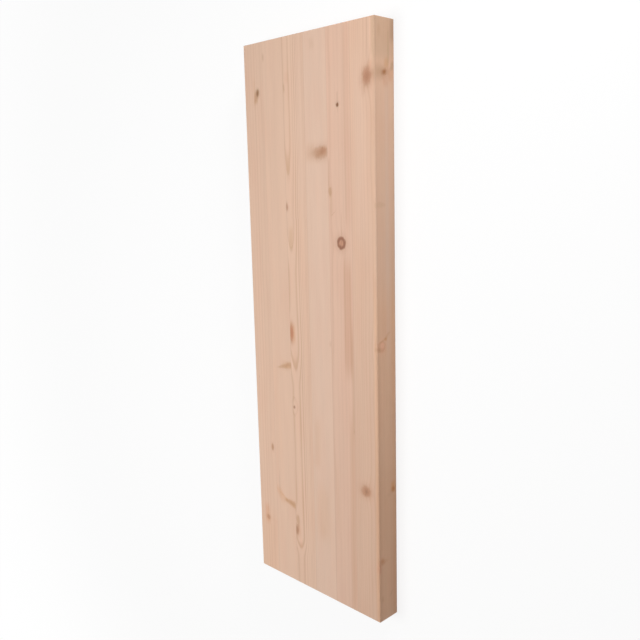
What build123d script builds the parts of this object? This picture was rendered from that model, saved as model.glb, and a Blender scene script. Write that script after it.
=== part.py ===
from build123d import *
import os

# Edge-glued spruce board: solid staves glued edge to edge, planed flush as one
# board, ripped to width along one side, its long arrises rounded, and then
# crosscut to length. It lies flat with its better broad face up.
# The origin is the middle of the underside. +X runs along the grain, +Y across
# the board towards the stave that was ripped narrower, and +Z up.

# Driving dimensions, in millimetres
board_length = 900.0
board_thickness = 42.0
stave_count = 6
stave_width = 47.0
ripped_stave_width = 45.0
arris_radius = 2.0
end_chamfer = 0.6

stave_widths = [ripped_stave_width] + [stave_width] * (stave_count - 1)
board_width = sum(stave_widths)


def planed_board():
    """The whole board: a section with rounded long arrises, drawn out along
    the grain, with the saw's sharp edge taken off around both ends."""
    with BuildPart() as board:
        with BuildSketch(Plane.YZ.offset(-board_length / 2)):
            with Locations((0, board_thickness / 2)):
                RectangleRounded(board_width, board_thickness, arris_radius)
        extrude(amount=board_length)
        ends = board.faces().sort_by(Axis.X)
        chamfer(ends[0].edges() + ends[-1].edges(), length=end_chamfer)
    return board.part


def glue_lines():
    """The Y of each side of each stave, from the ripped side of the board
    across to the other: glue lines, with the board's own sides outermost."""
    sides = [board_width / 2]
    for width in stave_widths:
        sides.append(sides[-1] - width)
    return sides


def stave(board, left, right):
    """The stave that lies between two neighbouring glue lines."""
    slot = Pos(0, (left + right) / 2, board_thickness / 2) * Box(
        board_length, left - right, board_thickness
    )
    return board & slot


def main():
    os.makedirs("parts", exist_ok=True)
    board = planed_board()
    sides = glue_lines()
    for number in range(stave_count):
        piece = stave(board, sides[number], sides[number + 1])
        export_step(piece, f"parts/stave_{number + 1}.step")


main()
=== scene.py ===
import math

import bpy
import numpy as np
from mathutils import Matrix, Vector


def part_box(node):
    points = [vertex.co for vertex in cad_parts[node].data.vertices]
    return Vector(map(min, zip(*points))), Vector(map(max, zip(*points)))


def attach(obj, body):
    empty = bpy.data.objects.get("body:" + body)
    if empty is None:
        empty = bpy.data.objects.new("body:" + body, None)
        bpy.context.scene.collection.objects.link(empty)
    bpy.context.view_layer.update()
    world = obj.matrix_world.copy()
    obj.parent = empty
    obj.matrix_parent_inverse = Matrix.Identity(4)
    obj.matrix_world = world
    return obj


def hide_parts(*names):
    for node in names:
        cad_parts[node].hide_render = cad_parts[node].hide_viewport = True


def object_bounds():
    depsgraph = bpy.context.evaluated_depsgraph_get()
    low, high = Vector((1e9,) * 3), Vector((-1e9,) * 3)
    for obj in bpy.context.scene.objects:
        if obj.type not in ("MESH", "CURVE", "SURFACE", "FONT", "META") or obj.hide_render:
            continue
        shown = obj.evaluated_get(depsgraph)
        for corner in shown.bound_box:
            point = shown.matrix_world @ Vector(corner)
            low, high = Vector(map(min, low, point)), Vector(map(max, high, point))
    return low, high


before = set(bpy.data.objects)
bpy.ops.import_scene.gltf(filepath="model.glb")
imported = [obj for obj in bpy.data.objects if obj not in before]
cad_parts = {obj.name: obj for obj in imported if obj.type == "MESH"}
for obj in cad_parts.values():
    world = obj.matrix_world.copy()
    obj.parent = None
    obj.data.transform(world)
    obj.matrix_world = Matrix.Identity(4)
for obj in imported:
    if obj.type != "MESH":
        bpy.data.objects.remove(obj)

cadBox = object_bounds()
print("frame loaded, box", [round(v, 4) for corner in cadBox for v in corner])

# An edge-glued spruce board. X runs along the grain, Y across the staves, Z up.
# Meshes are in metres, as in the frame. Grain, knots and marks are in millimetres, in the same place.
toMm = 1000.0
boardLow, boardHigh = [Vector(corner) for corner in cadBox]
boardTop = boardHigh.z * toMm
frontSide = boardLow.y * toMm  # the long edge that the camera sees
sameSpot = 0.00001  # places nearer than this count as one
notThere = 9.0  # radii from a knot at which nothing of it is left

# Shape of every stave's mesh: edges as the board's, and how finely each side is divided
staveShape = {
    "arrisRadius": 0.002,
    "arrisSteps": 3,  # to the middle of the round, so twice this over the whole of it
    "endBevel": 0.0006,
    "cellsAlong": 450,
    "cellsAcross": 42,
    "cellsThrough": 14,  # on a glued side, which doesn't show
    "cellsThroughEdge": 34,  # on the board's own long edges
    "collarDepth": 0.00010,  # how far the wood has shrunk round a knot
    "collarAt": 1.08,  # where, in the knot's radii
    "collarWidth": 0.2,
    "sharpFrom": 32,  # degrees between two faces
    "bakeFolds": (2, 3),  # into how many strips the bake map may cut the length; what fits best is used
    "bakeGap": 1.5,  # mm between its strips
}

# How the tree grew, in mm
growth = {
    "waves": ((310.0, 0.5), (120.0, 0.22), (47.0, 0.08)),  # length and size of the grain's slow waves
    "slant": 0.5,  # the most that a wave leans, in radians for each slantEvery mm across the board
    "slantEvery": 9.0,
    "yearLimits": (0.68, 1.32),  # a thin and a thick year, as shares of the stave's mean
    "mostYears": 160,
    "branchRoot": 0.22,  # a branch's thickness where it starts, as a share of that at the face
    "branchLimits": (0.08, 1.25),
    "bendAlong": (1.9, 5.0),  # how far along the grain the years bend round a knot: times its size, plus mm
    "bendAcross": (1.25, 2.0),
    "bendPast": 1.5,  # half widths past a branch's end
}


def linearColour(red, green, blue):
    # a colour as a screen shows it, 0 to 255, in the light values that the nodes use
    shares = [v / 255 for v in (red, green, blue)]
    return tuple(v / 12.92 if v < 0.04 else ((v + 0.055) / 1.055) ** 2.4 for v in shares)


def softStep(value, start, end):
    t = np.clip((value - start) / (end - start), 0, 1)
    return t * t * (3 - 2 * t)


# What the staves' lists of knots and marks are written with

usualKnot = {
    "z": boardTop,
    "root": None,  # where the branch starts; None is on the pith, level with the knot
    "lives": (0.0, 9.0),  # where the branch is there, as shares of the way from root to face
    "core": 0.1,  # how dark the middle is
    "rim": 0.12,  # how dark the outline is
    "halo": 0.4,  # how much of its colour stains the wood round it
    "soft": 0.5,  # how blurred it is
    "force": 1.0,  # how well it hides the wood
    "crack": 0.0,  # how dark the split in it is
    "bulge": 0.35,  # how far it pushes the years outwards, in half widths
}
usualMark = {
    "on": "face",
    "bow": 0.0,  # mm to the side at half its length
    "core": 0.2,  # the share of its width that is even
    "depth": (3.0, 9.0),  # mm under the surface at which it starts to fade and is gone
}


def knot(at, size, colour, **own):
    # at: X and Y. size: half its length along the grain and half its width, where the face cuts it
    return {**usualKnot, "at": at, "size": size, "colour": colour, **own}


def mark(start, end, width, fade, leaves, **own):
    # start and end: X and Y, and start has the larger X. width: half of it. fade: mm at either end.
    # leaves: what it leaves of the wood's red, green and blue
    return {**usualMark, "start": start, "end": end, "width": width, "fade": fade, "leaves": leaves, **own}


def edgeMark(start, end, width, fade, leaves, **own):
    # the same on the long edge in view, where its places are X and Z
    return mark(start, end, width, fade, leaves, on="edge", **own)


# Grain: the tree's middle ran along the board through a few places, level at each and smooth between


def pithAt(wood, x):
    places = wood["pith"]
    y = np.full(np.shape(x), places[0][1], float)
    z = np.full(np.shape(x), places[0][2], float)
    for (x0, y0, z0), (x1, y1, z1) in zip(places, places[1:]):
        share = softStep(x, x0, x1)
        y += (y1 - y0) * share
        z += (z1 - z0) * share
    return y, z


def branchFrame(wood, branch):
    # a branch runs straight from its root to the place where a face cuts it
    spot = np.array([*branch["at"], branch["z"]])
    root = np.array(branch["root"] or (spot[0], *pithAt(wood, spot[0])))
    reach = np.linalg.norm(spot - root)
    axis = (spot - root) / reach
    along = np.array([1.0, 0.0, 0.0]) - axis * axis[0]
    along /= np.linalg.norm(along)
    return root, reach, axis, along, np.cross(axis, along)


def knotPlaces(points, wood):
    # for the nearest knot of each point: its place in radii, its distance, colour and character
    count = len(points)
    place = np.full((count, 3), notThere)
    nearest = np.full(count, notThere)
    tint = np.ones((count, 4))
    mood = np.zeros((count, 3))
    force = np.zeros((count, 3))
    bulge = np.zeros(count)
    thin = growth["branchRoot"]
    timesAlong, plusAlong = growth["bendAlong"]
    timesAcross, plusAcross = growth["bendAcross"]
    for branch in wood["knots"]:
        root, reach, axis, along, across = branchFrame(wood, branch)
        sizeAlong, sizeAcross = branch["size"]
        offset = points - root
        travel = offset @ axis / reach
        swell = np.clip(thin + (1 - thin) * travel, *growth["branchLimits"])
        a = offset @ along / (sizeAlong * swell)
        b = offset @ across / (sizeAcross * swell)
        starts, stops = branch["lives"]
        beyond = (np.clip(starts - travel, 0, None) + np.clip(travel - stops, 0, None)) * reach / sizeAcross
        far = np.sqrt(a * a + b * b + beyond * beyond)
        closer = far < nearest
        nearest = np.where(closer, far, nearest)
        place[closer] = np.stack([a, b, beyond], 1)[closer]
        tint[closer] = (*linearColour(*branch["colour"]), branch["rim"])
        mood[closer] = (branch["core"], branch["halo"], branch["soft"])
        force[closer] = (branch["force"], branch["crack"], 0.0)
        bendA = offset @ along / (sizeAlong * timesAlong + plusAlong)
        bendB = offset @ across / (sizeAcross * timesAcross + plusAcross)
        near = np.exp(-(bendA**2 + bendB**2) - 0.5 * (beyond / growth["bendPast"]) ** 2)
        bulge += branch["bulge"] * sizeAcross * swell * near
    return place, nearest, tint, mood, force, bulge


def yearsAt(points, wood, bulge):
    # how many years' growth lies between the pith and each point
    x, y, z = points.T
    pithY, pithZ = pithAt(wood, x)
    reach = np.hypot(y - pithY, z - pithZ)
    draw = np.random.default_rng(wood["seed"])
    fullTurn = 2 * math.pi
    for wave, size in growth["waves"]:
        turn, slant = draw.uniform(0, fullTurn), draw.uniform(-growth["slant"], growth["slant"])
        lean = slant * y / growth["slantEvery"]
        reach += wood["waver"] * size * np.sin(fullTurn * x / wave + turn + lean)
    reach = np.clip(reach - bulge, 0, None)
    widths = wood["year"] * draw.uniform(*growth["yearLimits"], growth["mostYears"])
    starts = np.concatenate([[0.0], np.cumsum(widths)])
    return np.interp(reach, starts, np.arange(len(starts)))


def stainsAndPaintedShadeAt(points, wood):
    # what stained bands, streaks and patches, and painted shade along stave six's front arris, leave of the
    # wood's colour
    x, y, z = points.T
    highEnd, lowEnd = wood["tone"]
    share = (x / toMm - boardLow.x) / (boardHigh.x - boardLow.x)
    left = np.repeat((lowEnd + (highEnd - lowEnd) * share)[:, None], 3, 1)
    for stainOrPaintedShade in wood["stainsAndPaintedShade"]:
        onEdge = stainOrPaintedShade["on"] == "edge"
        side = z if onEdge else y
        deep = (y - frontSide) if onEdge else (boardTop - z)
        (x0, side0), (x1, side1) = stainOrPaintedShade["start"], stainOrPaintedShade["end"]
        t = np.clip((x - x0) / (x1 - x0), 0, 1)
        middle = side0 + (side1 - side0) * t + stainOrPaintedShade["bow"] * 4 * t * (1 - t)
        away = np.abs(side - middle) / stainOrPaintedShade["width"]
        fade = stainOrPaintedShade["fade"]
        ends = softStep(x, x1 - fade, x1 + fade) * (1 - softStep(x, x0 - fade, x0 + fade))
        amount = ends * (1 - softStep(away, stainOrPaintedShade["core"], 1.0))
        amount *= 1 - softStep(deep, *stainOrPaintedShade["depth"])
        left *= 1 - amount[:, None] * (1 - np.array(stainOrPaintedShade["leaves"]))
    for outline in wood.get("outlines", []):
        # a thin line round a spot, longest along the grain and pointed at both ends
        a = np.abs(x - outline["at"][0]) / outline["size"][0]
        b = np.abs(y - outline["at"][1]) / outline["size"][1]
        power = outline["power"]
        off = (a**power + b**power) ** (1 / power) - 1
        amount = np.exp(-((off / outline["line"]) ** 2))
        amount *= 1 - softStep(boardTop - z, *usualMark["depth"])
        left *= 1 - amount[:, None] * (1 - np.array(outline["leaves"]))
    return left


# Meshes


def sideRun(start, end, inward, cells, radius, roundStart, roundEnd):
    # points of one side of a section and the way each faces; a round corner is met halfway
    start, end, inward = np.array(start), np.array(end), np.array(inward)
    length = np.linalg.norm(end - start)
    ahead = (end - start) / length
    steps = staveShape["arrisSteps"]
    turns = np.radians(np.linspace(45, 0, steps + 1)[:-1])
    places = []
    if roundStart:
        places += [(radius * (1 - math.sin(t)), radius * (1 - math.cos(t)), -t) for t in turns]
    flatStart = radius if roundStart else 0.0
    flatEnd = length - (radius if roundEnd else 0.0)
    flatCells = cells - steps * (roundStart + roundEnd)
    places += [(s, 0.0, 0.0) for s in np.linspace(flatStart, flatEnd, flatCells + 1)]
    if roundEnd:
        places += [(length - radius * (1 - math.sin(t)), radius * (1 - math.cos(t)), t) for t in turns[::-1]]
    run = np.array([start + ahead * s + inward * d for s, d, t in places])
    facing = np.array([-inward * math.cos(t) + ahead * math.sin(t) for s, d, t in places])
    return run, facing


def sectionOf(low, high, inset, cells, roundLow, roundHigh):
    # one section as four runs: under, over, low side and high side, shared at their corners
    radius = staveShape["arrisRadius"] - inset
    y0 = low.y + (inset if roundLow else 0.0)
    y1 = high.y - (inset if roundHigh else 0.0)
    z0, z1 = low.z + inset, high.z - inset
    across, through = cells
    under = sideRun((y0, z0), (y1, z0), (0, 1), across, radius, roundLow, roundHigh)
    over = sideRun((y0, z1), (y1, z1), (0, -1), across, radius, roundLow, roundHigh)
    lowSide = sideRun((y0, z0), (y0, z1), (1, 0), through, radius, roundLow, roundLow)
    highSide = sideRun((y1, z0), (y1, z1), (-1, 0), through, radius, roundHigh, roundHigh)
    return under, over, lowSide, highSide


def loopOf(section):
    # the section's outline as one closed loop: along the underside, up the high side, back over and down
    (under, underOut), (over, overOut), (lowSide, lowOut), (highSide, highOut) = section
    ring = np.concatenate([under, highSide[1:], over[::-1][1:], lowSide[::-1][1:-1]])
    out = np.concatenate([underOut, highOut[1:], overOut[::-1][1:], lowOut[::-1][1:-1]])
    return ring, out


def capOf(section):
    # fills an end face between its four runs
    under, over, lowSide, highSide = [run for run, out in section]
    across, through = len(under) - 1, len(lowSide) - 1
    u = np.linspace(0, 1, across + 1)[1:-1, None, None]
    v = np.linspace(0, 1, through + 1)[None, 1:-1, None]
    ruled = (1 - v) * under[1:-1, None] + v * over[1:-1, None]
    ruled = ruled + (1 - u) * lowSide[None, 1:-1] + u * highSide[None, 1:-1]
    corners = (1 - u) * ((1 - v) * under[0] + v * over[0]) + u * ((1 - v) * under[-1] + v * over[-1])
    return (ruled - corners).reshape(-1, 2)


def foldedSheet(stations, ring, cells, glued, folds):
    # a map of the stave in mm: each long side in equal strips, one above the other, and glued sides smaller
    gap = staveShape["bakeGap"]
    x = (stations - stations[0]) * toMm
    middle = (x[:-1] + x[1:]) / 2
    steps = np.linalg.norm(np.diff(np.concatenate([ring, ring[:1]]), axis=0), axis=1) * toMm
    places = np.zeros((len(middle), len(ring), 4, 2))
    level, first = gap, 0
    for count, isGlued in zip(cells, glued):
        strips = 1 if isGlued else folds
        squeeze = 1 / folds if isGlued else 1.0
        long = x[-1] / strips
        run = np.concatenate([[0.0], np.cumsum(steps[first:first + count])]) * squeeze
        strip = np.minimum(middle // long, strips - 1)
        left = (x[:-1] - strip * long) * squeeze + 2 * gap
        right = (x[1:] - strip * long) * squeeze + 2 * gap
        under = level + strip * (run[-1] + gap)
        bottom = under[:, None] + run[:-1]
        top = under[:, None] + run[1:]
        places[:, first:first + count, :, 0] = np.stack([left, right, right, left], -1)[:, None]
        places[:, first:first + count, :, 1] = np.stack([bottom, bottom, top, top], -1)
        level += strips * (run[-1] + gap)
        first += count
    return places.reshape(-1, 4, 2), level, x[-1] / folds + 4 * gap


def bakeMap(mesh, stations, ring, cells, glued, caps):
    # lays the end faces side by side above the strips, and picks the number of strips that wastes least
    gap = staveShape["bakeGap"]
    wide, tall = np.ptp(ring, axis=0) * toMm
    best = None
    for folds in staveShape["bakeFolds"]:
        sides, level, across = foldedSheet(stations, ring, cells, glued, folds)
        sheet = max(level + tall + gap, across)
        if best is None or sheet < best[2]:
            best = sides, level, sheet
    sides, level, sheet = best
    faces = [sides]
    for end, corners in enumerate(caps):
        place = (corners - ring.min(0)) * toMm
        place[..., 0] = place[..., 0] + wide + 2 * gap if end else wide - place[..., 0] + gap
        place[..., 1] += level
        faces.append(place)
    layer = mesh.uv_layers.new(name="OFBake")
    layer.data.foreach_set("uv", (np.concatenate(faces) / sheet).astype(np.float32).ravel())
    return sheet


def staveSkin(low, high, cells, roundLow, roundHigh):
    # rows of points along the board, each round the section, the way each faces, and an end face's points
    bevel = staveShape["endBevel"]
    ends = sectionOf(low, high, bevel, cells, roundLow, roundHigh)
    ring, ringOut = loopOf(sectionOf(low, high, 0.0, cells, roundLow, roundHigh))
    # a glued side stays flat against its neighbour
    glued = np.zeros(len(ring), bool)
    for isRound, side in ((roundLow, low.y), (roundHigh, high.y)):
        if not isRound:
            glued |= np.abs(ring[:, 0] - side) < sameSpot
    corner = glued & (np.minimum(ring[:, 1] - low.z, high.z - ring[:, 1]) < sameSpot)
    ringOut[glued] = 0.0
    ringOut[corner, 1] = np.sign(ring[corner, 1] - (low.z + high.z) / 2)
    stations = np.linspace(low.x + bevel, high.x - bevel, staveShape["cellsAlong"] + 1)
    stations = np.concatenate([[low.x], stations, [high.x]])
    points = np.zeros((len(stations), len(ring), 3))
    points[:, :, 0] = stations[:, None]
    points[:, :, 1:] = ring
    points[0, :, 1:] = points[-1, :, 1:] = loopOf(ends)[0]
    outward = np.zeros_like(points)
    outward[1:-1, :, 1:] = ringOut
    return points, outward, ring, capOf(ends)


def staveFaces(rows, cells):
    # the corners of each face, by number: the skin's, then those of both ends
    across, through = cells
    around = 2 * (across + through)
    row = np.arange(rows - 1)[:, None] * around
    here = np.arange(around)[None]
    ahead = (here + 1) % around
    skin = np.stack([row + here, row + around + here, row + around + ahead, row + ahead], -1)
    grid = np.zeros((across + 1, through + 1), int)
    grid[:, 0] = np.arange(across + 1)
    grid[-1, :] = across + np.arange(through + 1)
    grid[:, -1] = across + through + np.arange(across + 1)[::-1]
    grid[0, 1:-1] = 2 * across + through + np.arange(1, through)[::-1]
    inner = np.arange((across - 1) * (through - 1)).reshape(across - 1, through - 1)
    ends = []
    for end in (0, 1):
        numbers = grid + end * (rows - 1) * around
        numbers[1:-1, 1:-1] = rows * around + end * inner.size + inner
        face = np.stack([numbers[:-1, :-1], numbers[:-1, 1:], numbers[1:, 1:], numbers[1:, :-1]], -1)
        face = face[..., ::-1] if end else face
        ends.append(face.reshape(-1, 4))
    return skin.reshape(-1, 4), ends


def meshOf(name, vertices, faces):
    mesh = bpy.data.meshes.new(name)
    mesh.vertices.add(len(vertices))
    mesh.vertices.foreach_set("co", vertices.ravel())
    mesh.loops.add(faces.size)
    mesh.loops.foreach_set("vertex_index", faces.ravel())
    mesh.polygons.add(len(faces))
    mesh.polygons.foreach_set("loop_start", np.arange(0, faces.size, 4))
    mesh.update(calc_edges=True)
    mesh.validate()
    mesh.polygons.foreach_set("use_smooth", np.ones(len(faces), bool))
    mesh.set_sharp_from_angle(angle=math.radians(staveShape["sharpFrom"]))
    return mesh


def storeNumbers(mesh, name, kind, field, values):
    attribute = mesh.attributes.new(name, kind, "POINT")
    attribute.data.foreach_set(field, np.asarray(values, np.float32).ravel())


def buildStave(name, node, wood, roundLow, roundHigh):
    low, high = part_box(node)
    through = staveShape["cellsThroughEdge" if roundLow or roundHigh else "cellsThrough"]
    cells = (staveShape["cellsAcross"], through)
    points, outward, ring, cap = staveSkin(low, high, cells, roundLow, roundHigh)
    skin, ends = staveFaces(len(points), cells)
    caps = [np.column_stack([np.full(len(cap), x), cap]) for x in (low.x, high.x)]
    vertices = np.concatenate([points.reshape(-1, 3), *caps])
    facing = np.concatenate([outward.reshape(-1, 3), np.zeros((2 * len(cap), 3))])

    mm = vertices * toMm
    place, nearest, tint, mood, force, bulge = knotPlaces(mm, wood)
    years = yearsAt(mm, wood, bulge)
    stainsAndPaintedShade = stainsAndPaintedShadeAt(mm, wood)
    fromCollar = (nearest - staveShape["collarAt"]) / staveShape["collarWidth"]
    vertices -= facing * (np.exp(-(fromCollar**2)) * staveShape["collarDepth"])[:, None]

    mesh = meshOf(name, vertices, np.concatenate([skin, *ends]))
    endPlaces = [vertices[end][..., 1:] for end in ends]
    glued = (False, not roundHigh, False, not roundLow)
    sheet = bakeMap(mesh, points[:, 0, 0], ring, cells * 2, glued, endPlaces)
    storeNumbers(mesh, "years", "FLOAT", "value", years)
    storeNumbers(mesh, "knotPlace", "FLOAT_VECTOR", "vector", place)
    storeNumbers(mesh, "knotTint", "FLOAT_COLOR", "color", tint)
    storeNumbers(mesh, "knotMood", "FLOAT_VECTOR", "vector", mood)
    storeNumbers(mesh, "knotForce", "FLOAT_VECTOR", "vector", force)
    storeNumbers(mesh, "stainsAndPaintedShade", "FLOAT_VECTOR", "vector", stainsAndPaintedShade)
    piece = bpy.data.objects.new(name, mesh)
    bpy.context.scene.collection.objects.link(piece)
    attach(piece, "root")
    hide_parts(node)
    print(name, len(mesh.polygons), "faces, bake map", round(sheet), "mm across")
    return piece


# Nodes


def emptyTree(owner):
    owner.use_nodes = True
    owner.node_tree.nodes.clear()
    return owner.node_tree


def put(tree, kind, sockets=None, **settings):
    # a node with its settings, and its sockets set to values or linked from other sockets
    made = tree.nodes.new(kind)
    for key, value in settings.items():
        setattr(made, key, value)
    for key, value in (sockets or {}).items():
        if isinstance(value, bpy.types.NodeSocket):
            tree.links.new(value, made.inputs[key])
        else:
            made.inputs[key].default_value = value
    return made


def calc(tree, how, *values):
    return put(tree, "ShaderNodeMath", dict(enumerate(values)), operation=how).outputs[0]


def product(tree, first, *others):
    for other in others:
        first = calc(tree, "MULTIPLY", first, other)
    return first


def scaled(tree, value, times, plus):
    return calc(tree, "MULTIPLY_ADD", value, times, plus)


def vectorCalc(tree, how, a, b):
    return put(tree, "ShaderNodeVectorMath", {0: a, 1: b}, operation=how).outputs[0]


def parts(tree, vector):
    return put(tree, "ShaderNodeSeparateXYZ", {0: vector}).outputs[:]


def between(tree, value, start, end, low=0.0, high=1.0):
    made = put(tree, "ShaderNodeMapRange", {0: value, 1: start, 2: end, 3: low, 4: high})
    made.interpolation_type = "SMOOTHSTEP"
    return made.outputs[0]


def outside(tree, value, start, end):
    return between(tree, value, start, end, 1.0, 0.0)


def mixColours(tree, how, factor, a, b):
    return put(tree, "ShaderNodeMix", {0: factor, 6: a, 7: b}, data_type="RGBA", blend_type=how).outputs[2]


def stainedOrShaded(tree, colour, amount, stainOrPaintedShade):
    return mixColours(tree, "MULTIPLY", amount, colour, stainOrPaintedShade)


def shaded(tree, colour, value):
    grey = put(tree, "ShaderNodeCombineColor", {0: value, 1: value, 2: value}).outputs[0]
    return stainedOrShaded(tree, colour, 1.0, grey)


def weighed(tree, start, shares, layers):
    # adds up layers, each times its share
    for kind, share in shares.items():
        start = calc(tree, "ADD", start, calc(tree, "MULTIPLY", layers[kind], share))
    return start


def cloud(tree, where, stretch, detail, rough, shift):
    # noise drawn out along the board: stretch gives its size in mm along, across and through
    place = vectorCalc(tree, "MULTIPLY", where, tuple(1 / s for s in stretch))
    place = vectorCalc(tree, "ADD", place, tuple(shift * way for way in noiseShift))
    sockets = {"Vector": place, "Scale": 1.0, "Detail": detail, "Roughness": rough}
    return put(tree, "ShaderNodeTexNoise", sockets).outputs["Fac"]


def readAttribute(tree, name, output="Fac"):
    return put(tree, "ShaderNodeAttribute", attribute_name=name).outputs[output]


# Noise in the wood: its size in mm along, across and through, detail, roughness, and a shift of its own
woodNoise = {
    "fibre": ((55.0, 0.9, 0.9), 3.0, 0.6, 0.0),
    "hair": ((14.0, 0.28, 0.28), 2.0, 0.6, 11.0),
    "drift": ((260.0, 16.0, 16.0), 2.0, 0.5, 23.0),
    "patch": ((90.0, 22.0, 22.0), 2.0, 0.5, 37.0),
    "canals": ((4.5, 0.32, 0.32), 1.0, 0.5, 53.0),
    "wobble": ((7.0, 4.0, 4.0), 3.0, 0.6, 71.0),
    "speckle": ((3.0, 0.35, 0.35), 2.0, 0.7, 91.0),
}
sawStrokes = ((60.0, 0.7, 45.0), 2.0, 0.6, 5.0)  # the same across all staves, as they were sawn together
noiseShift = (1.0, 0.7, 1.3)  # the way that a shift goes

# The finish that all staves share. Stains are what is left of red, green and blue.
# Vary: how much the named pattern changes something, and what is there without it.
# Range and Reach: where a change starts and ends, and a Reach is in radii from a knot's middle
woodFinish = {
    "seedStep": 3.7,
    "ragged": 0.16,  # of a year, how far fibres fray the ring lines
    "lateRange": 0.15,  # of a year, by which the late wood's start varies
    "lateStop": 0.96,
    "yearVary": (0.95, 0.3),
    "patchVary": (0.9, 0.55),
    "driftVary": (0.10, 0.95),
    "fibreVary": (0.10, 0.95),
    "hairVary": (0.08, 0.96),
    "warmRange": (0.35, 0.75),
    "warmth": 0.6,
    "warmStain": (1.0, 0.955, 0.94, 1),
    "canalRange": (0.70, 0.78),
    "canalVary": (0.35, 0.10),
    "canalStain": (0.62, 0.48, 0.38, 1),
    "wobbleVary": (0.5, 0.25),  # this and the next two vary with how soft the knot is
    "knotFadeVary": (-0.75, 0.95),  # radii at which the knot starts to fade
    "knotEndVary": (0.40, 1.05),
    "knotRings": 22.0,  # radians of ring pattern for each radius
    "ringVary": (0.035, 0.985),
    "coreReach": (0.05, 0.75),
    "coreShade": 0.62,
    "haloReach": (0.6, 2.6),
    "haloPower": 1.6,
    "haloShade": 0.75,
    "splitSlant": 0.35,
    "splitRange": (0.02, 0.09),  # radii to either side of the split
    "splitReach": (0.55, 0.85),
    "splitStain": (0.30, 0.22, 0.18, 1),
    "rimInnerReach": (0.30, 0.72),
    "rimOuterReach": (0.86, 1.14),
    "rimStain": (0.50, 0.38, 0.32, 1),
    "glueRange": (0.05, 0.28),  # mm from the joint
    "glueShade": 0.36,
    "glueVary": (1.6, 0.2),
    "glueStain": (0.42, 0.30, 0.22, 1),
    "endRange": (0.45, 0.9),  # how much of a face's direction runs along the board
    "strokesVary": (0.30, 0.85),
    "speckleVary": (0.36, 0.82),
    "endEarly": (0.86, 0.82, 0.78, 1),
    "endLate": (0.66, 0.56, 0.49, 1),
    "roughness": 0.55,
    "roughnessShares": {"late": -0.10, "fibre": 0.14, "knot": -0.10, "end": 0.18},
    "reliefShares": {
        "late": 0.5, "fibre": 0.5, "hair": 0.35, "canals": -0.8, "rim": -0.9, "split": -2.5,
        "endSpeckle": 1.2, "endStrokes": 2.4,
    },
    "reliefStrength": 0.6,
    "reliefDepth": 0.00006,
    "shine": 0.35,
}


def paintWood(tree, wood, noise, seed):
    # the year's growth: pale wood slowly darkens to the narrow late wood, then stops sharply
    frayed = scaled(tree, noise["fibre"], woodFinish["ragged"], -woodFinish["ragged"] / 2)
    years = calc(tree, "ADD", readAttribute(tree, "years"), frayed)
    yearPart = calc(tree, "FRACT", years)
    yearNumber = calc(tree, "ADD", calc(tree, "FLOOR", years), seed)
    luck = put(tree, "ShaderNodeTexWhiteNoise", {"W": yearNumber}, noise_dimensions="1D").outputs[0]
    lateStart = scaled(tree, luck, woodFinish["lateRange"], wood["lateWood"])
    rise = between(tree, yearPart, lateStart, woodFinish["lateStop"])
    late = calc(tree, "MAXIMUM", rise, outside(tree, yearPart, 0.0, wood["lateEnd"]))
    late = calc(tree, "MULTIPLY", late, scaled(tree, luck, *woodFinish["yearVary"]))
    late = calc(tree, "MULTIPLY", late, scaled(tree, noise["patch"], *woodFinish["patchVary"]))
    pale, line = [(*linearColour(*wood[kind]), 1) for kind in ("pale", "line")]
    colour = mixColours(tree, "MIX", calc(tree, "MULTIPLY", late, wood["contrast"]), pale, line)

    # slow changes of tone along the board, and the fibres' own streaks
    streaks = [scaled(tree, noise[kind], *woodFinish[kind + "Vary"]) for kind in ("drift", "fibre", "hair")]
    colour = shaded(tree, colour, product(tree, *streaks))
    warm = between(tree, noise["patch"], *woodFinish["warmRange"])
    warm = calc(tree, "MULTIPLY", warm, woodFinish["warmth"])
    colour = stainedOrShaded(tree, colour, warm, woodFinish["warmStain"])

    # resin canals: short brown dashes along the grain, thickest in the late wood
    canals = between(tree, noise["canals"], *woodFinish["canalRange"])
    canals = calc(tree, "MULTIPLY", canals, scaled(tree, late, *woodFinish["canalVary"]))
    return stainedOrShaded(tree, colour, canals, woodFinish["canalStain"]), late, canals


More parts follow.
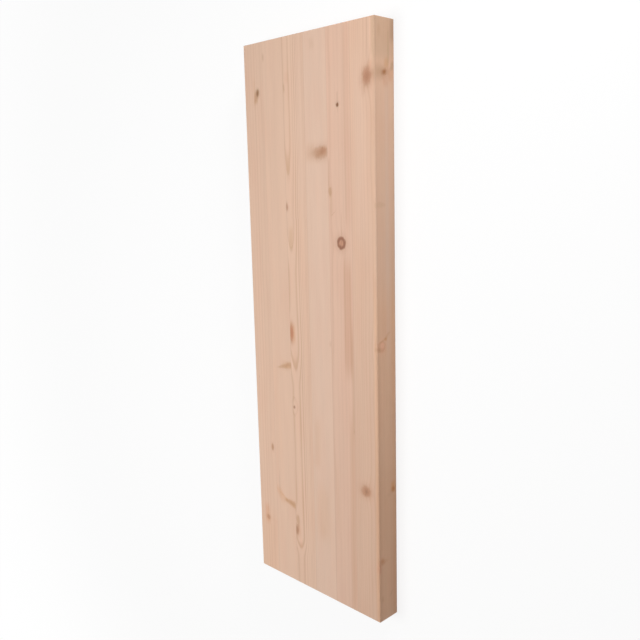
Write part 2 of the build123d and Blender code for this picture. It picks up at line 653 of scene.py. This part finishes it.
def paintKnots(tree, noise, colour):
    place = readAttribute(tree, "knotPlace", "Vector")
    tint = readAttribute(tree, "knotTint", "Color")
    rim = readAttribute(tree, "knotTint", "Alpha")
    core, halo, soft = parts(tree, readAttribute(tree, "knotMood", "Vector"))
    force, crack = parts(tree, readAttribute(tree, "knotForce", "Vector"))[:2]
    along, across = parts(tree, place)[:2]
    flat = put(tree, "ShaderNodeVectorMath", {0: place}, operation="LENGTH").outputs["Value"]
    loose = scaled(tree, soft, *woodFinish["wobbleVary"])
    reach = scaled(tree, calc(tree, "SUBTRACT", noise["wobble"], 0.5), loose, flat)
    fade = scaled(tree, soft, *woodFinish["knotFadeVary"])
    inside = outside(tree, reach, fade, scaled(tree, soft, *woodFinish["knotEndVary"]))
    inside = calc(tree, "MULTIPLY", inside, force)

    rings = calc(tree, "SINE", calc(tree, "MULTIPLY", reach, woodFinish["knotRings"]))
    rings = scaled(tree, rings, *woodFinish["ringVary"])
    middle = outside(tree, reach, *woodFinish["coreReach"])
    middle = product(tree, middle, core, woodFinish["coreShade"])
    tone = calc(tree, "MULTIPLY", rings, calc(tree, "SUBTRACT", 1.0, middle))
    fromSplit = calc(tree, "ABSOLUTE", scaled(tree, along, woodFinish["splitSlant"], across))
    split = outside(tree, fromSplit, *woodFinish["splitRange"])
    split = product(tree, split, outside(tree, reach, *woodFinish["splitReach"]), crack)
    knotColour = stainedOrShaded(tree, shaded(tree, tint, tone), split, woodFinish["splitStain"])

    glow = outside(tree, reach, *woodFinish["haloReach"])
    glow = calc(tree, "POWER", glow, woodFinish["haloPower"])
    glow = product(tree, glow, halo, force, woodFinish["haloShade"])
    colour = mixColours(tree, "MIX", glow, colour, tint)
    colour = mixColours(tree, "MIX", inside, colour, knotColour)
    edge = between(tree, reach, *woodFinish["rimInnerReach"])
    edge = product(tree, edge, outside(tree, reach, *woodFinish["rimOuterReach"]), rim, force)
    return stainedOrShaded(tree, colour, edge, woodFinish["rimStain"]), inside, edge, split


def paintGlue(tree, wood, mm, drift, colour):
    # a thin line of glue along each side that has a neighbour
    y = parts(tree, mm)[1]
    for side in wood["glued"]:
        away = calc(tree, "ABSOLUTE", calc(tree, "SUBTRACT", y, side))
        glue = between(tree, away, *woodFinish["glueRange"], woodFinish["glueShade"], 0.0)
        glue = calc(tree, "MULTIPLY", glue, scaled(tree, drift, *woodFinish["glueVary"]))
        colour = stainedOrShaded(tree, colour, glue, woodFinish["glueStain"])
    return colour


def paintEnds(tree, speckle, strokes, late, colour):
    # end grain drinks in more light than the faces do, and its rings are stronger
    facing = parts(tree, put(tree, "ShaderNodeNewGeometry").outputs["Normal"])[0]
    end = between(tree, calc(tree, "ABSOLUTE", facing), *woodFinish["endRange"])
    tone = mixColours(tree, "MIX", late, woodFinish["endEarly"], woodFinish["endLate"])
    tone = shaded(tree, tone, scaled(tree, strokes, *woodFinish["strokesVary"]))
    tone = shaded(tree, tone, scaled(tree, speckle, *woodFinish["speckleVary"]))
    return stainedOrShaded(tree, colour, end, tone), end


def spruceMaterial(name, wood):
    material = bpy.data.materials.new(name)
    tree = emptyTree(material)
    seed = wood["seed"] * woodFinish["seedStep"]
    place = put(tree, "ShaderNodeTexCoord").outputs["Object"]
    mm = vectorCalc(tree, "MULTIPLY", place, (toMm, toMm, toMm))
    noise = {kind: cloud(tree, mm, *look, seed + shift) for kind, (*look, shift) in woodNoise.items()}
    strokes = cloud(tree, mm, *sawStrokes)
    colour, late, canals = paintWood(tree, wood, noise, seed)
    colour, inside, edge, split = paintKnots(tree, noise, colour)
    # stains, bands and painted shade along the front arris lie over wood and knots alike
    colour = stainedOrShaded(tree, colour, 1.0, readAttribute(tree, "stainsAndPaintedShade", "Vector"))
    colour = paintGlue(tree, wood, mm, noise["drift"], colour)
    colour, end = paintEnds(tree, noise["speckle"], strokes, late, colour)

    layers = {
        "late": late, "fibre": noise["fibre"], "hair": noise["hair"], "canals": canals,
        "knot": inside, "rim": edge, "split": split, "end": end,
        "endSpeckle": calc(tree, "MULTIPLY", noise["speckle"], end),
        "endStrokes": calc(tree, "MULTIPLY", strokes, end),
    }
    roughness = weighed(tree, woodFinish["roughness"], woodFinish["roughnessShares"], layers)
    bump = put(tree, "ShaderNodeBump", {
        "Height": weighed(tree, 0.0, woodFinish["reliefShares"], layers),
        "Strength": woodFinish["reliefStrength"], "Distance": woodFinish["reliefDepth"],
    })
    shader = put(tree, "ShaderNodeBsdfPrincipled", {
        "Base Color": colour, "Roughness": roughness, "Normal": bump.outputs[0],
        "Specular IOR Level": woodFinish["shine"],
    })
    put(tree, "ShaderNodeOutputMaterial", {"Surface": shader.outputs[0]})
    return material


# The staves, from the board's ripped side to the long edge in view, with all places in mm on the board.
# pith: X, Y and Z of places that the tree's middle ran through. year: mm of growth a year.
# waver: how uneven the rings are. lateWood and lateEnd: where in a year the dark wood starts and ends.
# pale and line: early and late wood, as a screen shows them. tone: brightness at the +X end and the -X end.

staveOne = {
    "seed": 1, "year": 2.8, "waver": 0.5, "lateWood": 0.50, "lateEnd": 0.14, "contrast": 0.24,
    "pale": (222, 187, 163), "line": (196, 153, 124), "tone": (0.97, 1.06),
    "pith": [(-450, 83.0, -45.0), (450, 77.0, -45.0)],
    "knots": [
        knot((373.4, 108.2), (5.0, 3.0), (166, 128, 94), core=0.15, halo=0.6, soft=0.8),
        knot((-218.8, 102.2), (6.0, 3.0), (198, 151, 120), halo=0.4, soft=0.9),
        knot((-353.4, 119.8), (4.2, 4.2), (206, 164, 135), halo=0.6, soft=1.0),
    ],
    "stainsAndPaintedShade": [
        mark((375, 111), (358, 113), 7, 5, (0.80, 0.71, 0.62)),
        mark((396, 117), (352, 116), 5, 9, (0.975, 0.95, 0.92)),
        mark((-330, 122), (-363, 121), 9, 8, (0.96, 0.86, 0.80)),
        mark((-352, 112), (-356, 98), 6, 5, (0.98, 0.93, 0.89)),
        mark((452, 114.5), (-452, 120.5), 1.8, 2, (0.955, 0.93, 0.91)),
        mark((300, 124), (-452, 126), 1.2, 30, (0.975, 0.955, 0.94)),
        mark((-96, 130.4), (-100, 130.4), 1.5, 2, (0.88, 0.82, 0.76)),
        mark((-345, 118), (-470, 118), 40, 25, (1.0, 0.97, 0.94)),
    ],
}
staveTwo = {
    "seed": 2, "year": 2.2, "waver": 0.4, "lateWood": 0.50, "lateEnd": 0.14, "contrast": 0.16,
    "pale": (224, 189, 165), "line": (198, 156, 127), "tone": (0.98, 1.04),
    "pith": [(0, 90.0, 46.0)],
    "knots": [
        knot((-66.6, 50.3), (4.8, 5.2), (208, 164, 131), root=(-76.0, 92.0, 45.5), rim=0.10, halo=0.5,
             soft=1.2, lives=(0.2, 9.0)),
        knot((-311.0, 49.1), (5.4, 5.4), (208, 162, 127), root=(-303.0, 94.0, 46.0), rim=0.05, halo=0.5,
             soft=1.1, lives=(0.55, 9.0)),
    ],
    "stainsAndPaintedShade": [
        mark((431, 92.8), (421, 92.4), 3.4, 4, (0.87, 0.84, 0.80)),
        mark((-60, 61), (-71, 63), 16, 3, (0.96, 0.92, 0.87), core=0.1),
        mark((-62, 55), (-67, 57), 5, 2, (0.95, 0.92, 0.90)),
        mark((-68, 55.5), (-71, 55.5), 4.5, 2, (1.09, 1.10, 1.11)),
        mark((-73, 58), (-76, 59), 7, 2.5, (0.96, 0.94, 0.91)),
        mark((195, 48.8), (190, 48.8), 2.5, 4, (0.93, 0.88, 0.85)),
        mark((-288, 91), (-312, 78), 12, 8, (0.96, 0.88, 0.80)),
        mark((-262, 87), (-296, 86.5), 1.4, 12, (0.91, 0.88, 0.85)),
        mark((-297, 86), (-309, 68), 4, 3, (0.95, 0.875, 0.78), bow=-3),
        mark((-305, 62), (-316, 50), 5, 4, (0.975, 0.945, 0.92)),
        mark((290, 82.5), (170, 82.5), 1.2, 25, (0.965, 0.95, 0.935)),
        mark((-120, 90), (-276, 90), 1.4, 30, (0.97, 0.945, 0.92)),
        mark((-60, 88), (-240, 80), 9, 40, (1.0, 0.985, 0.97)),
    ],
}
staveThree = {
    "seed": 380, "year": 2.4, "waver": 0.10, "lateWood": 0.42, "lateEnd": 0.22, "contrast": 0.42,
    "pale": (224, 189, 165), "line": (194, 150, 117), "tone": (1.005, 1.02),
    "pith": [
        (-403, 36.5, 8.4), (-361, 36.5, 10.9), (-102, 37.0, 10.9), (-32, 37.5, 13.7), (84, 38.5, 13.7),
        (172, 40.0, 16.35), (176, 41.0, 16.35), (304, 41.5, 18.8),
    ],
    "knots": [
        knot((192.8, 47.2), (6.0, 2.8), (192, 146, 120), halo=0.5, soft=0.9),
        knot((-10.4, 45.4), (14.0, 4.6), (196, 138, 106), rim=0.06, halo=0.6, soft=0.8),
        knot((-136.1, 43.5), (2.3, 2.0), (184, 138, 112), halo=0.6, soft=0.7),
        knot((-354.6, 45.4), (8.5, 3.5), (190, 142, 112), halo=0.5, soft=0.9),
        knot((-334.6, 43.0), (8.0, 4.0), (212, 170, 140), halo=0.4, soft=1.0),
    ],
    "stainsAndPaintedShade": [
        mark((4, 40.5), (-26, 40), 8, 7, (0.965, 0.88, 0.80)),
        mark((8, 45.5), (2, 45), 3.5, 4, (0.93, 0.91, 0.86)),
        mark((-21, 45.8), (-29, 46), 3, 4, (0.90, 0.90, 0.90)),
        mark((-345, 39.5), (-362, 39.5), 6, 8, (0.98, 0.91, 0.86)),
        mark((150, 46.2), (-340, 46.2), 2.6, 30, (1.035, 1.045, 1.05)),
        mark((240, 22.2), (-330, 21.8), 1.3, 30, (0.95, 0.93, 0.91)),
        mark((380, 46.6), (369, 45.2), 2.8, 3, (0.87, 0.83, 0.78)),
        mark((396, 40), (381, 40), 7, 6, (0.975, 0.95, 0.93)),
        mark((455, 14), (200, 14), 14, 40, (1.01, 1.02, 1.04)),
        mark((160, 39), (127, 40), 7, 8, (0.945, 0.905, 0.835)),
        mark((275, 41.5), (244, 41.5), 6, 9, (0.95, 0.925, 0.88)),
        mark((-40, 37), (-66, 37), 6, 8, (0.98, 0.965, 0.94)),
        mark((-366, 36.5), (-384, 36.5), 5, 6, (1.03, 0.985, 0.97)),
    ],
    "outlines": [
        {"at": (-135.0, 43.0), "size": (15, 8.0), "line": 0.18, "power": 1.4, "leaves": (0.94, 0.91, 0.89)},
    ],
}
staveFour = {
    "seed": 4, "year": 2.0, "waver": 0.5, "lateWood": 0.50, "lateEnd": 0.14, "contrast": 0.17,
    "pale": (224, 191, 169), "line": (204, 164, 137), "tone": (0.995, 1.005),
    "pith": [(-450, 28.0, -3.0), (450, 32.0, -3.0)],
    "knots": [
        knot((273.2, -29.5), (8.6, 9.4), (192, 147, 117), root=(270.0, 31.0, -3.0), core=0.05, rim=0.05,
             halo=0.45, soft=1.0),
    ],
    "stainsAndPaintedShade": [
        mark((286, -10), (263, -8), 15, 9, (0.93, 0.885, 0.84)),
        mark((281, -38), (271, -36), 9.5, 4.5, (0.88, 0.77, 0.68)),
        mark((281, -29), (277.5, -44.5), 1.8, 0.8, (0.86, 0.78, 0.72)),
        mark((269, -24), (260, -26), 9, 4, (0.93, 0.90, 0.87)),
        mark((438, -16.5), (424, -17.5), 8, 6, (0.95, 0.935, 0.91)),
        mark((-14, -43.7), (-22, -43.7), 3.5, 4, (0.92, 0.89, 0.86)),
        mark((200, -7.5), (135, -7.5), 1.4, 15, (0.965, 0.95, 0.935)),
        mark((-150, -10), (-225, -9), 10, 12, (0.975, 0.94, 0.90)),
        mark((-262, -20), (-348, -20), 23, 22, (0.975, 0.935, 0.89)),
        mark((-325, -18), (-350, -18), 9, 12, (0.98, 0.965, 0.945)),
        mark((-208, 4), (-226, 4), 9, 10, (0.975, 0.95, 0.93)),
    ],
}
staveFive = {
    "seed": 5, "year": 2.6, "waver": 0.3, "lateWood": 0.48, "lateEnd": 0.16, "contrast": 0.20,
    "pale": (223, 186, 163), "line": (196, 154, 126), "tone": (1.01, 0.98),
    "pith": [(-450, -35.0, -50.5), (450, -35.0, -49.5)],
    "knots": [
        knot((339.1, -67.8), (3.0, 2.3), (132, 88, 54), core=0.2, halo=0.35, soft=0.6),
        knot((215.5, -49.9), (6.8, 3.2), (204, 162, 130), halo=0.5, soft=0.9, bulge=0.15),
        knot((139.2, -70.8), (9.6, 8.2), (190, 140, 112), core=-0.12, rim=0.83, halo=0.45, soft=0.4,
             crack=0.35, bulge=0.25),
    ],
    "stainsAndPaintedShade": [
        mark((112, -82), (-60, -83), 12, 22, (0.91, 0.845, 0.80), core=0.35),
        mark((124, -76.3), (-45, -76), 1.5, 16, (0.93, 0.90, 0.88)),
        mark((100, -86.5), (-60, -87), 1.5, 16, (0.95, 0.92, 0.90)),
        mark((10, -90), (-148, -90.6), 3.6, 30, (0.90, 0.86, 0.82)),
        mark((-130, -88), (-460, -86.0), 9, 30, (0.925, 0.875, 0.825)),
        mark((455, -80.4), (171, -81.4), 2.4, 20, (0.94, 0.92, 0.90)),
        mark((455, -86.5), (165, -87), 8, 25, (0.965, 0.93, 0.905)),
        mark((-148, -91), (-151, -91), 1.6, 3, (0.86, 0.80, 0.74)),
        mark((136, -73), (131, -70.5), 6, 2.5, (0.91, 0.88, 0.87)),
        mark((148, -66), (140, -64), 4, 2, (0.95, 0.93, 0.92)),
        mark((357, -67.8), (343, -67.8), 0.9, 2, (0.76, 0.70, 0.65)),
        mark((335, -67.8), (329, -68.2), 0.9, 2, (0.86, 0.81, 0.77)),
        mark((262, -48.6), (222, -47.5), 1.4, 6, (0.84, 0.80, 0.76)),
        mark((208, -52), (180, -53), 6, 8, (0.955, 0.94, 0.905)),
        mark((182, -72.3), (149, -71.8), 0.9, 4, (0.90, 0.85, 0.81)),
        mark((-216, -53), (-316, -53), 6, 20, (0.98, 0.96, 0.935)),
    ],
}
staveSix = {
    "seed": 6, "year": 2.7, "waver": 0.5, "lateWood": 0.48, "lateEnd": 0.16, "contrast": 0.22,
    "pale": (222, 185, 160), "line": (194, 149, 119), "tone": (1.03, 0.93),
    "pith": [(0, -144.0, -1.0)],
    "knots": [
        knot((372.6, -125.6), (11.0, 7.4), (182, 130, 100), root=(384.0, -144.0, -1.0), core=0.1, rim=0.05,
             halo=0.6, soft=1.0, lives=(0.5, 9.0)),
        knot((-240.0, -115.0), (8.8, 7.2), (194, 142, 110), root=(-239.0, -145.0, 2.0), core=0.25, rim=0.08,
             halo=0.5, soft=0.9, crack=0.25, lives=(0.45, 9.0)),
        knot((378.0, -140.0), (3.3, 3.9), (176, 121, 79), z=21.5, root=(382.0, -152.0, 14.5), rim=0.05,
             halo=0.6, soft=1.0, lives=(0.0, 1.5)),
        knot((195.0, -139.6), (4.0, 1.6), (206, 166, 134), z=35.0, soft=1.0, force=0.3),
        knot((-9.5, -140.0), (8.0, 8.0), (234, 182, 154), z=31.0, root=(-6.0, -128.0, 26.0), rim=0.30,
             soft=0.7, force=0.65, halo=0.3),
        knot((-351.0, -139.8), (5.0, 1.7), (206, 152, 120), z=37.5, soft=1.0, force=0.3),
    ],
    "stainsAndPaintedShade": [
        mark((470, -134.2), (392, -134.2), 4.2, 6, (1.06, 1.06, 1.05), core=0.5),
        mark((355, -134), (-200, -134), 5, 30, (1.02, 1.02, 1.01)),
        # painted shade: darkens the face, the arris round and the top of the long edge along the front, over
        # the -X half of the board
        mark((20, -140), (-470, -140), 6, 130, (0.93, 0.915, 0.90)),
        mark((470, -126.3), (392, -126.0), 1.5, 8, (0.93, 0.90, 0.89)),
        mark((470, -119.6), (330, -119.0), 1.5, 20, (0.96, 0.94, 0.92)),
        mark((390, -111), (150, -113), 19, 40, (1.025, 1.045, 1.07)),
        mark((391, -133), (378, -129), 2.6, 3, (1.05, 1.03, 1.02)),
        mark((393, -131), (384, -130), 6, 4, (0.97, 0.92, 0.89)),
        mark((360, -119), (346, -117), 5, 6, (0.965, 0.945, 0.93)),
        mark((-216, -124), (-254, -124), 6, 10, (0.975, 0.955, 0.94)),
        edgeMark((460, 21), (-460, 21), 60, 1, (1.0, 0.945, 0.88), core=0.9),
        # painted shade: greys the round of the top arris and the top of the long edge, from end to end
        edgeMark((460, 41.6), (-460, 41.6), 2.6, 1, (0.925, 0.93, 0.945), core=0.55, depth=(1.4, 2.3)),
        edgeMark((470, 21), (395, 21), 60, 14, (0.86, 0.89, 0.89), core=0.9),
        edgeMark((385, 21), (70, 21), 60, 40, (1.0, 1.045, 1.10), core=0.9),
        edgeMark((80, 21), (-470, 21), 60, 70, (1.05, 1.045, 1.035), core=0.9),
        edgeMark((-200, 21), (-470, 21), 60, 40, (0.975, 0.95, 0.925), core=0.9),
        edgeMark((455, 3), (420, 5), 9, 9, (0.82, 0.80, 0.79)),
        edgeMark((438, 33), (427, 33), 5, 8, (0.93, 0.90, 0.87)),
        edgeMark((434, 13.3), (386, 13.5), 1.7, 6, (0.89, 0.89, 0.85)),
        edgeMark((430, 1), (394, 1), 2.5, 6, (1.0, 0.92, 0.82)),
        edgeMark((386, 33), (369, 33), 15, 7, (0.84, 0.82, 0.78)),
        edgeMark((374, 22), (359, 19), 8, 5, (0.95, 0.88, 0.85)),
        edgeMark((396, 17), (383, 18), 7, 6, (0.93, 0.85, 0.74)),
        edgeMark((392, 4), (381, 6), 6, 3, (0.80, 0.79, 0.745)),
        edgeMark((381, 8), (366, 10), 8, 6, (0.94, 0.87, 0.82)),
        edgeMark((360, 17.5), (-30, 17.5), 6, 40, (0.99, 1.025, 1.08)),
        edgeMark((130, 7), (-460, 7.5), 3.5, 60, (1.0, 0.965, 0.92)),
        edgeMark((9, 15), (0, 24), 4.8, 1.8, (0.94, 0.89, 0.83)),
        edgeMark((1, 22), (-6, 39), 5, 1.5, (0.93, 0.87, 0.82)),
        edgeMark((1, 23.5), (-3, 23.5), 4.5, 1.5, (0.93, 0.82, 0.70)),
        edgeMark((-12, 38.5), (-18, 38.5), 6, 2.5, (0.88, 0.86, 0.80)),
        edgeMark((-13, 29), (-20, 29), 8, 3, (0.97, 0.91, 0.89)),
        edgeMark((-235, 8.6), (-243, 8.2), 6, 3, (0.82, 0.67, 0.50)),
        edgeMark((-226, 9), (-240, 9), 7.5, 5, (0.97, 0.85, 0.70)),
        edgeMark((-243, 18), (-247, 17), 9, 4, (0.94, 0.93, 0.92)),
        edgeMark((-345, 36), (-353, 34), 6, 5, (0.91, 0.79, 0.68)),
        edgeMark((-355, 40), (-368, 40), 4, 5, (0.99, 0.90, 0.90)),
        edgeMark((-408, 36), (-418, 35), 4.5, 3, (0.92, 0.89, 0.86)),
        edgeMark((-406, 12), (-414, 17), 4, 2, (0.93, 0.92, 0.91)),
    ],
}

# Each stave in turn. Its mesh fills its node's box, and only the board's own edges are rounded
staves = {
    "stave_1": staveOne, "stave_2": staveTwo, "stave_3": staveThree,
    "stave_4": staveFour, "stave_5": staveFive, "stave_6": staveSix,
}
for node, wood in staves.items():
    low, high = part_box(node)
    isLow = abs(low.y - boardLow.y) < sameSpot
    isHigh = abs(high.y - boardHigh.y) < sameSpot
    wood["glued"] = [side.y * toMm for side, isOuter in ((low, isLow), (high, isHigh)) if not isOuter]
    piece = buildStave(node.replace("_", "Wood"), node, wood, isLow, isHigh)
    piece.data.materials.append(spruceMaterial(node.replace("_", "Spruce"), wood))
print("six staves built")

# Floor, background and light
studio = {
    "floorSize": 12.0,
    "floorColour": (0.6, 0.6, 0.6, 1),
    "floorWhite": 0.70,  # how much of the floor's look is plain white, so that the shadow stays faint
    "floorGlow": 1.17,  # brightness of that white near the board
    "fadeOut": (0.8, 2.0),  # metres from the board between which the floor turns into the background
    "ambient": 0.28,
}
# mirrored: whether the lamp shows in the wood's gloss, where the low one would glare from the other side
lamps = {
    "overhead": {
        "at": (0.0, 0.5, 2.4), "aim": (0.0, 0.0, 0.0), "size": 1.6, "watts": 35.3, "spread": 180,
        "mirrored": True,
    },
    "farEnd": {
        "at": (1.35, -0.9, 0.38), "aim": (0.1, -0.14, 0.02), "size": 0.4, "watts": 2.35, "spread": 75,
        "mirrored": False,
    },
}


def seenByCamera(tree):
    path = put(tree, "ShaderNodeLightPath").outputs
    seen = calc(tree, "MAXIMUM", path["Is Camera Ray"], path["Is Glossy Ray"])
    return calc(tree, "MAXIMUM", seen, path["Is Transmission Ray"])


def layFloor():
    half = studio["floorSize"] / 2
    corners = [(-half, -half, 0), (half, -half, 0), (half, half, 0), (-half, half, 0)]
    mesh = bpy.data.meshes.new("floor")
    mesh.from_pydata(corners, [], [(0, 1, 2, 3)])
    floor = bpy.data.objects.new("floor", mesh)
    bpy.context.scene.collection.objects.link(floor)
    floor.location.z = boardLow.z
    material = bpy.data.materials.new("paleFloor")
    tree = emptyTree(material)
    matt = put(tree, "ShaderNodeBsdfDiffuse", {"Color": studio["floorColour"]}).outputs[0]
    place = put(tree, "ShaderNodeTexCoord").outputs["Object"]
    out = put(tree, "ShaderNodeVectorMath", {0: place}, operation="LENGTH").outputs["Value"]
    glow = between(tree, out, *studio["fadeOut"], studio["floorGlow"], 1.0)
    white = put(tree, "ShaderNodeEmission", {"Color": (1, 1, 1, 1), "Strength": glow}).outputs[0]
    share = between(tree, out, *studio["fadeOut"], studio["floorWhite"], 1.0)
    share = calc(tree, "MULTIPLY", seenByCamera(tree), share)
    both = put(tree, "ShaderNodeMixShader", {0: share, 1: matt, 2: white}).outputs[0]
    put(tree, "ShaderNodeOutputMaterial", {"Surface": both})
    mesh.materials.append(material)
    return floor


def lightRoom():
    world = bpy.data.worlds.new("studio")
    bpy.context.scene.world = world
    tree = emptyTree(world)
    soft, white = [
        put(tree, "ShaderNodeBackground", {"Color": (1, 1, 1, 1), "Strength": strength}).outputs[0]
        for strength in (studio["ambient"], 1.0)
    ]
    both = put(tree, "ShaderNodeMixShader", {0: seenByCamera(tree), 1: soft, 2: white}).outputs[0]
    put(tree, "ShaderNodeOutputWorld", {"Surface": both})
    for name, lamp in lamps.items():
        light = bpy.data.lights.new(name, "AREA")
        light.shape = "DISK"
        light.size = lamp["size"]
        light.energy = lamp["watts"]
        light.spread = math.radians(lamp["spread"])
        holder = bpy.data.objects.new(name, light)
        bpy.context.scene.collection.objects.link(holder)
        holder.location = lamp["at"]
        holder.visible_glossy = lamp["mirrored"]
        aim = Vector(lamp["aim"]) - Vector(lamp["at"])
        holder.rotation_euler = aim.to_track_quat("-Z", "Y").to_euler()


# The camera looks down on the board with the grain running up the picture, as the photograph shows it
cameraSetup = {
    "at": (0.2188, -0.8386, 0.8489),
    "looksAt": (0.0178, -0.0219, 0.042),
    "roll": -1.363,  # degrees
    "lens": 41.93,
    "sensor": 36.0,
}


def setCamera():
    camera = bpy.data.cameras.new("camera")
    camera.lens = cameraSetup["lens"]
    camera.sensor_width = cameraSetup["sensor"]
    holder = bpy.data.objects.new("camera", camera)
    bpy.context.scene.collection.objects.link(holder)
    ahead = (Vector(cameraSetup["looksAt"]) - Vector(cameraSetup["at"])).normalized()
    grain = Vector((1, 0, 0))
    up = (grain - ahead * grain.dot(ahead)).normalized()
    right = ahead.cross(up)
    turned = Matrix((right, up, -ahead)).transposed().to_4x4()
    roll = Matrix.Rotation(math.radians(cameraSetup["roll"]), 4, "Z")
    holder.matrix_world = Matrix.Translation(cameraSetup["at"]) @ turned @ roll
    bpy.context.scene.camera = holder


layFloor()
lightRoom()
setCamera()
bpy.context.scene.view_settings.view_transform = "Standard"
print("floor, lamps and camera set")
